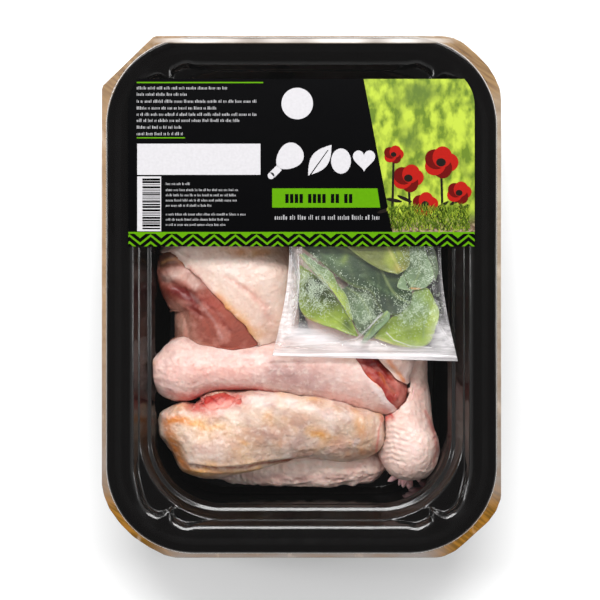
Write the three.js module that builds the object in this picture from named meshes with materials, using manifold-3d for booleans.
// Sealed supermarket tray of raw chicken pieces with a small clear bag of lime leaves, in millimetres.
// The pack lies on its base. +X is its right, +Y its labelled end, +Z up, and the origin is the centre of the base.
import * as THREE from "three";
import { mergeVertices } from "three/addons/utils/BufferGeometryUtils.js";
import Module from "manifold-3d";

const wasm = await Module();
wasm.setup();

// Driving dimensions of the tray, its film and its label.
const trayWidth = 173.2;
const trayLength = 227.6;
const trayHeight = 46;
const flangeRadius = 39;
const sheet = 1;
const filmThickness = 0.4;
const filmOverhang = 1.9;
const labelThickness = 0.3;
const labelHalfWidth = 76.7;
const labelBottom = 22.3;
const labelTop = 96.5;
const labelCornerRadius = 17.7;
const labelCornerRise = 11.9;

// Driving dimensions of the food. Skin lies over the flesh, and neighbours keep a small gap.
const gap = 0.3;
const skinThickness = 2;
const floorLevel = 1.2;
const thinnest = 0.4;

// Angles at which a corner of the tray is drawn, in degrees from the X axis. At the notch the wall between the two
// stacking lugs of a corner stands inwards.
const cornerAngles = [0, 11, 22, 33, 44, 53, 59, 63, 67, 78, 90];
const notchAngle = 63;
const notchDepth = 3.4;

const colours = {
  trayBlack: { color: 0x151415, roughness: 0.22, metalness: 0 },
  clearFilm: { color: 0xb9a184, roughness: 0.08, metalness: 0 },
  labelBlack: { color: 0x0d1207, roughness: 0.35, metalness: 0 },
  chickenSkin: { color: 0xefd3c8, roughness: 0.45, metalness: 0 },
  chickenFlesh: { color: 0xa9574b, roughness: 0.35, metalness: 0 },
  leafBag: { color: 0x7f9a5c, roughness: 0.15, metalness: 0 },
};

// One closed mesh from rings of equal length, with a fan at each end.
function loft(rings) {
  const count = rings[0].length;
  const points = rings.flat();
  const index = [];
  for (let r = 0; r + 1 < rings.length; r++) {
    for (let i = 0; i < count; i++) {
      const j = (i + 1) % count;
      const [a, b, c, d] = [r * count + i, r * count + j, (r + 1) * count + j, (r + 1) * count + i];
      index.push(a, b, c, a, c, d);
    }
  }
  const endRings = [rings[0], rings[rings.length - 1]];
  endRings.forEach((ring, end) => {
    const middle = ring.reduce((sum, p) => sum.add(p), new THREE.Vector3()).divideScalar(count);
    const start = end === 0 ? 0 : (rings.length - 1) * count;
    const hub = points.push(middle) - 1;
    for (let i = 0; i < count; i++) {
      const [near, far] = [start + i, start + ((i + 1) % count)];
      index.push(...(end === 0 ? [hub, far, near] : [hub, near, far]));
    }
  });
  const geometry = new THREE.BufferGeometry().setFromPoints(points);
  geometry.setIndex(index);
  return geometry;
}

// A manifold solid from a closed geometry, turned the right way out.
function solidOf(geometry) {
  const bare = geometry.clone();
  bare.deleteAttribute("normal");
  bare.deleteAttribute("uv");
  const merged = mergeVertices(bare, 1e-3);
  const triVerts = new Uint32Array(merged.index.array);
  const position = merged.attributes.position;
  const [a, b, c] = [new THREE.Vector3(), new THREE.Vector3(), new THREE.Vector3()];
  let volume = 0;
  for (let i = 0; i < triVerts.length; i += 3) {
    a.fromBufferAttribute(position, triVerts[i]);
    b.fromBufferAttribute(position, triVerts[i + 1]);
    c.fromBufferAttribute(position, triVerts[i + 2]);
    volume += a.dot(b.cross(c));
  }
  if (volume < 0) {
    for (let i = 0; i < triVerts.length; i += 3) {
      [triVerts[i + 1], triVerts[i + 2]] = [triVerts[i + 2], triVerts[i + 1]];
    }
  }
  return new wasm.Manifold(new wasm.Mesh({ numProp: 3, vertProperties: position.array, triVerts }));
}

// The largest body of a solid: a cut can leave loose slivers.
function largest(solid) {
  return solid.decompose().reduce((best, body) => (body.volume() > best.volume() ? body : best));
}

function geometryOf(solid) {
  const mesh = solid.getMesh();
  const geometry = new THREE.BufferGeometry();
  geometry.setAttribute("position", new THREE.BufferAttribute(new Float32Array(mesh.vertProperties), 3));
  geometry.setIndex([...mesh.triVerts]);
  geometry.computeVertexNormals();
  return geometry;
}

function meshOf(name, shape, finish) {
  const geometry = shape.isBufferGeometry ? shape : geometryOf(shape);
  const mesh = new THREE.Mesh(geometry, new THREE.MeshStandardMaterial(finish));
  mesh.name = name;
  return mesh;
}

// A rounded rectangle of the tray, inset from the flange's edge. A notch pushes one step of each corner inwards.
function trayRing({ inset, radius, z, notch = 0 }) {
  const [halfX, halfY] = [trayWidth / 2 - inset, trayLength / 2 - inset];
  const ring = [];
  for (const [signX, signY] of [[1, 1], [-1, 1], [-1, -1], [1, -1]]) {
    const corner = [];
    for (const degrees of cornerAngles) {
      const angle = THREE.MathUtils.degToRad(degrees);
      const reach = radius - (degrees === notchAngle ? notch : 0);
      const x = signX * (halfX - radius + reach * Math.cos(angle));
      const y = signY * (halfY - radius + reach * Math.sin(angle));
      corner.push(new THREE.Vector3(x, y, z));
    }
    ring.push(...(signX * signY > 0 ? corner : corner.reverse()));
  }
  return ring;
}

// The tray's section: inset and height of each ring, from the middle of the base up and out to the lip.
const shelfRadius = 41;
const wellRadius = 34;
const baseRadius = 31;
const shelfLevel = trayHeight - 5.5;
const wellLevel = 30;
const insideRings = [
  { inset: 34, radius: 22, z: floorLevel + 0.8 },
  { inset: 33, radius: 23, z: floorLevel },
  { inset: 25.3, radius: baseRadius, z: floorLevel },
  { inset: 22.4, radius: baseRadius + 1, z: 4.4 },
  { inset: 19.9, radius: wellRadius, z: wellLevel - 0.9 },
  { inset: 19.1, radius: wellRadius, z: wellLevel + 0.7 },
  { inset: 14.3, radius: shelfRadius, z: shelfLevel - 0.5 },
  { inset: 13.7, radius: flangeRadius - 13.7, z: shelfLevel, notch: notchDepth },
  { inset: 12.3, radius: flangeRadius - 12.3, z: trayHeight - 2.3, notch: notchDepth },
  { inset: 11.2, radius: flangeRadius - 11.2, z: trayHeight - 1.4, notch: notchDepth * 0.8 },
  { inset: 7.8, radius: flangeRadius - 7.8, z: trayHeight - 1 },
  { inset: 7, radius: flangeRadius - 7, z: trayHeight },
  { inset: 0.8, radius: flangeRadius - 0.8, z: trayHeight },
  { inset: 0, radius: flangeRadius, z: trayHeight - 0.8 },
];
const outsideRings = [
  { inset: 0, radius: flangeRadius, z: trayHeight - 2.6 },
  { inset: 0.9, radius: flangeRadius - 0.9, z: trayHeight - 2.6 },
  { inset: 1, radius: flangeRadius - 1, z: trayHeight - sheet },
  { inset: 6.3, radius: flangeRadius - 6.3, z: trayHeight - sheet },
  { inset: 7.1, radius: flangeRadius - 7.1, z: trayHeight - 1 - sheet },
  { inset: 10.6, radius: flangeRadius - 10.6, z: trayHeight - 1.4 - sheet, notch: notchDepth * 0.8 },
  { inset: 11.3, radius: flangeRadius - 11.3, z: trayHeight - 3.1, notch: notchDepth },
  { inset: 12.7, radius: flangeRadius - 12.7, z: shelfLevel - sheet, notch: notchDepth },
  { inset: 13.3, radius: shelfRadius, z: shelfLevel - 0.5 - sheet },
  { inset: 18.1, radius: wellRadius, z: wellLevel + 0.3 },
  { inset: 18.9, radius: wellRadius, z: wellLevel - 1.2 },
  { inset: 21.4, radius: baseRadius + 1, z: 4 },
  { inset: 24.9, radius: baseRadius, z: 0 },
];

const tray = loft([...insideRings, ...outsideRings].map(trayRing).reverse());

// The room inside the tray, a gap away from its floor, walls and lid film: food is kept within it.
const roomRings = insideRings.slice(0, 10).map((ring) => ({
  ...ring,
  inset: ring.inset + gap,
  z: Math.min(ring.z + gap, trayHeight - gap),
}));
roomRings[0].z = roomRings[1].z + 0.8;
const room = solidOf(loft([...roomRings, { ...roomRings[9], z: trayHeight - gap }].map(trayRing)));

// Lid film, cut a little past the flange. Each corner is trimmed in a few straight snips, given by how far each
// cut point lies in from the sheet's two edges.
const filmCorners = [
  { signX: 1, signY: 1, snips: [[0, 25.7], [5.6, 11.9], [21.2, 0]] },
  { signX: -1, signY: 1, snips: [[23.2, 0], [0, 22.6]] },
  { signX: -1, signY: -1, snips: [[0, 33.2], [4, 19.5], [13.7, 9.8], [22.2, 3.1], [29.5, 0]] },
  { signX: 1, signY: -1, snips: [[30.9, 0], [20.7, 3.9], [14.5, 9.7], [3.6, 19], [0, 33.2]] },
];
function filmSheet() {
  const [halfX, halfY] = [trayWidth / 2 + filmOverhang, trayLength / 2 + filmOverhang];
  const outline = filmCorners.flatMap(({ signX, signY, snips }) =>
    snips.map(([inX, inY]) => new THREE.Vector2(signX * (halfX - inX), signY * (halfY - inY))));
  const shape = new THREE.Shape(outline);
  return new THREE.ExtrudeGeometry(shape, { depth: filmThickness, bevelEnabled: false });
}

// Printed label over the tray's upper third: a rectangle whose two top corners follow the tray's opening.
function labelSheet() {
  const shape = new THREE.Shape();
  const arcX = labelHalfWidth - labelCornerRadius;
  const arcY = labelTop - labelCornerRise;
  const arcAngle = Math.asin(labelCornerRise / labelCornerRadius);
  shape.moveTo(-labelHalfWidth, labelBottom);
  shape.lineTo(labelHalfWidth, labelBottom);
  shape.absarc(arcX, arcY, labelCornerRadius, 0, arcAngle, false);
  shape.absarc(-arcX, arcY, labelCornerRadius, Math.PI - arcAngle, Math.PI, false);
  shape.closePath();
  return new THREE.ExtrudeGeometry(shape, { depth: labelThickness, bevelEnabled: false, curveSegments: 6 });
}

// A joint of meat along a smooth spine. A station is x, y, z, half width and half height. Its girth swells and
// pinches a little. A stretch of it can be made alone, larger or smaller all round and longer at each end.
function limb(stations, { grow = 0, longer = 0, from = 0, to = 1, steps = 16, sides = 14 } = {}) {
  const spine = new THREE.CatmullRomCurve3(stations.map(([x, y, z]) => new THREE.Vector3(x, y, z)));
  const girth = new THREE.CatmullRomCurve3(stations.map(([, , , w, h]) => new THREE.Vector3(w, h, 0)));
  const rings = [];
  for (let step = 0; step <= steps; step++) {
    const at = THREE.MathUtils.lerp(from, to, step / steps);
    const centre = spine.getPoint(at);
    const along = spine.getTangent(at);
    const across = new THREE.Vector3(-along.y, along.x, 0).normalize();
    const half = girth.getPoint(at);
    if (step === 0) centre.addScaledVector(along, -longer);
    if (step === steps) centre.addScaledVector(along, longer);
    const ring = [];
    for (let side = 0; side < sides; side++) {
      const angle = (side / sides) * Math.PI * 2;
      const swell = 1 + 0.03 * Math.sin(2 * angle + 9 * at) + 0.025 * Math.cos(3 * angle - 14 * at);
      const wide = Math.max(half.x * swell + grow, thinnest);
      const tall = Math.max(half.y * swell + grow, thinnest);
      const point = centre.clone().addScaledVector(across, wide * Math.cos(angle));
      point.z += tall * Math.sin(angle);
      ring.push(point);
    }
    rings.push(ring);
  }
  return solidOf(loft(rings));
}

// Everything on the far side of a cut: a big block whose near face is the cut plane.
function beyondCut(point, normal, size = 160) {
  const block = new THREE.BoxGeometry(size, size, size);
  const facing = new THREE.Vector3(...normal).normalize();
  const turn = new THREE.Quaternion().setFromUnitVectors(new THREE.Vector3(0, 0, 1), facing);
  block.translate(0, 0, size / 2).applyQuaternion(turn).translate(...point);
  return solidOf(block);
}

function ball(centre, radii) {
  const geometry = new THREE.SphereGeometry(1, 20, 14).scale(...radii).translate(...centre);
  return solidOf(geometry);
}

// Stations of the chicken pieces, placed in the pack's frame.
const drumstickMiddle = [
  [-67.2, -29.6, 27, 2.2, 2.4],
  [-65.2, -30.4, 26, 7.2, 7.6],
  [-61, -31.8, 23.6, 11.2, 12],
  [-54.6, -33.2, 21.6, 13.8, 15.4],
  [-43.8, -32.3, 20.4, 12.4, 16],
  [-28.8, -31.9, 20, 11.4, 16],
  [-14.3, -31.7, 19.6, 13, 16.6],
  [5.3, -32.4, 19.4, 16.2, 17.4],
  [25.3, -36.1, 19.2, 16.4, 17.2],
  [38.1, -40.7, 19, 13.4, 14.4],
  [45.6, -44.2, 19.4, 8.4, 9.4],
  [48, -45.2, 19.6, 2.4, 3],
];
const thighLower = [
  [-64.6, -55.2, 22, 1.4, 1.6],
  [-62.4, -56.6, 21.4, 4.6, 5],
  [-58.4, -59.8, 20, 9.4, 10],
  [-52.6, -64.2, 19, 13.4, 13.6],
  [-44.1, -66.2, 18.4, 17, 15.8],
  [-30.4, -62.9, 18.6, 18.8, 16.8],
  [-14.4, -59.4, 18.8, 17.8, 17],
  [5.3, -58.6, 18.6, 15.6, 16.4],
  [20.3, -60.9, 18, 13.6, 15.4],
  [31.3, -62.3, 17.2, 11, 13],
  [36.6, -62.1, 17, 7, 9],
  [38.6, -61.9, 17, 2, 2.6],
];
const thighUpper = [
  [-33.6, -27.4, 17, 8, 7],
  [-33.5, -25.4, 17.2, 18, 12],
  [-33.5, -16.2, 18, 25.6, 15.4],
  [-32.6, -6, 18.6, 26.6, 16.6],
  [-34, 3.1, 18.8, 28.4, 17],
  [-35.4, 14.5, 18.8, 29.6, 17],
  [-36.3, 30.5, 18.6, 28.4, 16.8],
  [-37.2, 48.8, 18, 23.6, 16],
  [-37.2, 62.5, 17, 16.2, 12.6],
  [-37.2, 70.4, 16.6, 5, 5],
];
const drumstickRight = [
  [50.4, -20.6, 12, 2, 2.4],
  [50.8, -23.6, 12.4, 5.6, 6],
  [51.2, -32.5, 13, 6.4, 7.6],
  [51.5, -40.4, 13.6, 6.4, 8.4],
  [52, -47.3, 14.6, 7.2, 9.6],
  [51.2, -54.2, 15.6, 9.2, 12],
  [49.8, -61, 16.2, 12.4, 14],
  [49.5, -68.8, 16.4, 13.8, 14.8],
  [50, -75.7, 16, 12.6, 13.6],
  [49.9, -81.4, 15.4, 8.8, 10],
  [49.8, -84, 15.2, 4, 4.6],
];
const breastUnderBag = [
  [45.4, -39.4, 25.4, 1.6, 1.6],
  [44.4, -36.8, 25, 5, 4.2],
  [42.6, -31.6, 23.8, 9.6, 8],
  [37.8, -22.6, 21, 15.8, 12.8],
  [31, -9.6, 19, 24.6, 15.6],
  [25.2, 12.1, 18.6, 28.4, 16.2],
  [22.6, 39.3, 18.4, 28.2, 16.2],
  [22, 59.7, 17, 22.4, 13],
  [22, 68.4, 16, 7, 6],
];
const wingUnder = [
  [-48.4, -70.6, 7, 2, 2.4],
  [-44.4, -72.6, 7.2, 7, 5],
  [-28.4, -75.2, 7.8, 10.6, 6.8],
  [-5.3, -76.6, 8, 11.4, 7],
  [17.8, -75.6, 7.8, 10.8, 7],
  [31.6, -75.2, 7.4, 8.6, 6],
  [35.4, -75, 7.2, 2.4, 2.6],
];

// Skin over flesh, which starts and ends part way along it. The flesh shows where the skin is cut away.
function skinned(stations, { from, to, steps, bare }) {
  const whole = limb(stations, { steps });
  const flesh = limb(stations, { grow: -skinThickness, from, to, sides: 12 });
  const hollow = limb(stations, { grow: gap - skinThickness, longer: gap, from, to, sides: 12 });
  return { flesh, skin: whole.subtract(hollow).subtract(bare) };
}

function drumstickMiddlePieces() {
  const cutEnd = beyondCut([31.5, -33.6, 31], [0.66, 0.5, 0.56]);
  return skinned(drumstickMiddle, { from: 0.07, to: 0.96, steps: 20, bare: cutEnd });
}

function thighUpperPieces() {
  const [knuckleCentre, knuckleRadii] = [[-58.5, 12, 21], [7.6, 8.6, 9]];
  const flap = beyondCut([-36.4, 1.6, 33], [-0.68, -0.66, 0.36]);
  const { skin, flesh } = skinned(thighUpper, { from: 0.03, to: 0.9, steps: 14, bare: flap });
  const knuckleRoom = ball(knuckleCentre, knuckleRadii.map((radius) => radius + gap));
  return { skin: skin.subtract(knuckleRoom), flesh: flesh.add(ball(knuckleCentre, knuckleRadii)) };
}

function thighLowerPieces() {
  const tear = ball([-39.4, -47.6, 31.4], [12.5, 5.5, 7]);
  return skinned(thighLower, { from: 0.09, to: 0.92, steps: 20, bare: tear });
}

// The foot end of the right drumstick, where short sinews stand out of the skin.
const sinewRoot = new THREE.Vector3(49, -77, 13.5);
const sinews = [
  { x: 39.4, y: -84.6, z: 11, radius: 2.4 },
  { x: 44, y: -86.6, z: 10, radius: 2.2 },
  { x: 47.6, y: -88, z: 12, radius: 2.8 },
  { x: 50.6, y: -89.6, z: 11, radius: 3.2 },
  { x: 54.6, y: -86.4, z: 11, radius: 2.4 },
];
function sinew({ x, y, z, radius }, grow = 0) {
  const reach = new THREE.Vector3(x, y, z).sub(sinewRoot);
  const length = reach.length() + grow;
  const cone = new THREE.ConeGeometry(radius + grow, length, 7).translate(0, length / 2, 0);
  const turn = new THREE.Quaternion().setFromUnitVectors(new THREE.Vector3(0, 1, 0), reach.normalize());
  return solidOf(cone.applyQuaternion(turn).translate(...sinewRoot));
}

function drumstickRightPieces() {
  const heel = beyondCut([50, -81.2, 15], [0.05, -1, -0.25]);
  let { skin, flesh } = skinned(drumstickRight, { from: 0.1, to: 0.98, steps: 18, bare: heel });
  for (const shape of sinews) {
    flesh = flesh.add(sinew(shape));
    skin = skin.subtract(sinew(shape, gap));
  }
  return { skin, flesh };
}

// Small clear bag of leaves: a flat pillow, fullest over the leaves and pressed flat along its seams. Its sides draw
// in where it is full.
const bag = { bottom: -27.6, top: 70, half: 41.4, drawnIn: 7.6, centreX: 28.4, level: 40.4, full: 4.4, seam: 0.5 };
function leafBag(grow = 0) {
  const geometry = new THREE.BoxGeometry(2, 2, 2, 10, 12, 1);
  const position = geometry.attributes.position;
  for (let i = 0; i < position.count; i++) {
    const [u, v, face] = [position.getX(i), position.getY(i), position.getZ(i)];
    const rise = (v + 1) / 2;
    const half = bag.half - bag.drawnIn * Math.sin(Math.PI * rise) + grow;
    const fullAcross = Math.max(0, 1 - Math.abs(u / 0.84) ** 3);
    const fullAlong = Math.max(0, 1 - Math.abs((v + 0.02) / 0.88) ** 4);
    const thick = bag.seam + bag.full * fullAcross * fullAlong + grow;
    const y = THREE.MathUtils.lerp(bag.bottom, bag.top, rise) + v * grow - 1.2 * u * (1 - rise);
    position.setXYZ(i, bag.centreX + u * half, y, bag.level + face * thick);
  }
  return solidOf(geometry);
}

// What lies on top cuts what lies below it, a gap wider than itself.
const grown = {
  leafBag: leafBag(gap),
  drumstickMiddle: limb(drumstickMiddle, { grow: gap, longer: gap, steps: 20 }),
  thighLower: limb(thighLower, { grow: gap, longer: gap, steps: 20 }),
  thighUpper: limb(thighUpper, { grow: gap, longer: gap, steps: 14 }),
  breast: limb(breastUnderBag, { grow: gap, longer: gap }),
  drumstickRight: limb(drumstickRight, { grow: gap, longer: gap, steps: 18 }),
};
function settled(solid, ...above) {
  const cut = above.reduce((left, name) => left.subtract(grown[name]), solid);
  return largest(cut.intersect(room));
}

const middle = drumstickMiddlePieces();
const upper = thighUpperPieces();
const lower = thighLowerPieces();
const right = drumstickRightPieces();
const { chickenSkin, chickenFlesh } = colours;
const food = [
  ["leaf_bag", settled(leafBag()), colours.leafBag],
  ["drumstick_middle_skin", settled(middle.skin, "leafBag"), chickenSkin],
  ["drumstick_middle_flesh", settled(middle.flesh, "leafBag"), chickenFlesh],
  ["thigh_lower_skin", settled(lower.skin, "drumstickMiddle"), chickenSkin],
  ["thigh_lower_flesh", settled(lower.flesh, "drumstickMiddle"), chickenFlesh],
  ["thigh_upper_skin", settled(upper.skin, "leafBag", "drumstickMiddle"), chickenSkin],
  ["thigh_upper_flesh", settled(upper.flesh, "leafBag", "drumstickMiddle"), chickenFlesh],
];
const breast = limb(breastUnderBag);
food.push(["breast_under_bag", settled(breast, "leafBag", "drumstickMiddle", "thighUpper"), chickenSkin]);
for (const [layer, finish] of [["skin", chickenSkin], ["flesh", chickenFlesh]]) {
  const solid = settled(right[layer], "drumstickMiddle", "thighLower", "breast");
  food.push([`drumstick_right_${layer}`, solid, finish]);
}
const wing = limb(wingUnder, { sides: 12 });
food.push(["wing_under", settled(wing, "thighLower", "drumstickMiddle", "drumstickRight"), chickenSkin]);

const pack = new THREE.Group();
pack.add(meshOf("tray", tray, colours.trayBlack));
for (const [name, solid, finish] of food) pack.add(meshOf(name, solid, finish));

const lid = new THREE.Group();
lid.position.z = trayHeight;
const label = meshOf("printed_label", labelSheet(), colours.labelBlack);
label.position.z = filmThickness;
lid.add(meshOf("lid_film", filmSheet(), colours.clearFilm), label);
pack.add(lid);

export default pack;
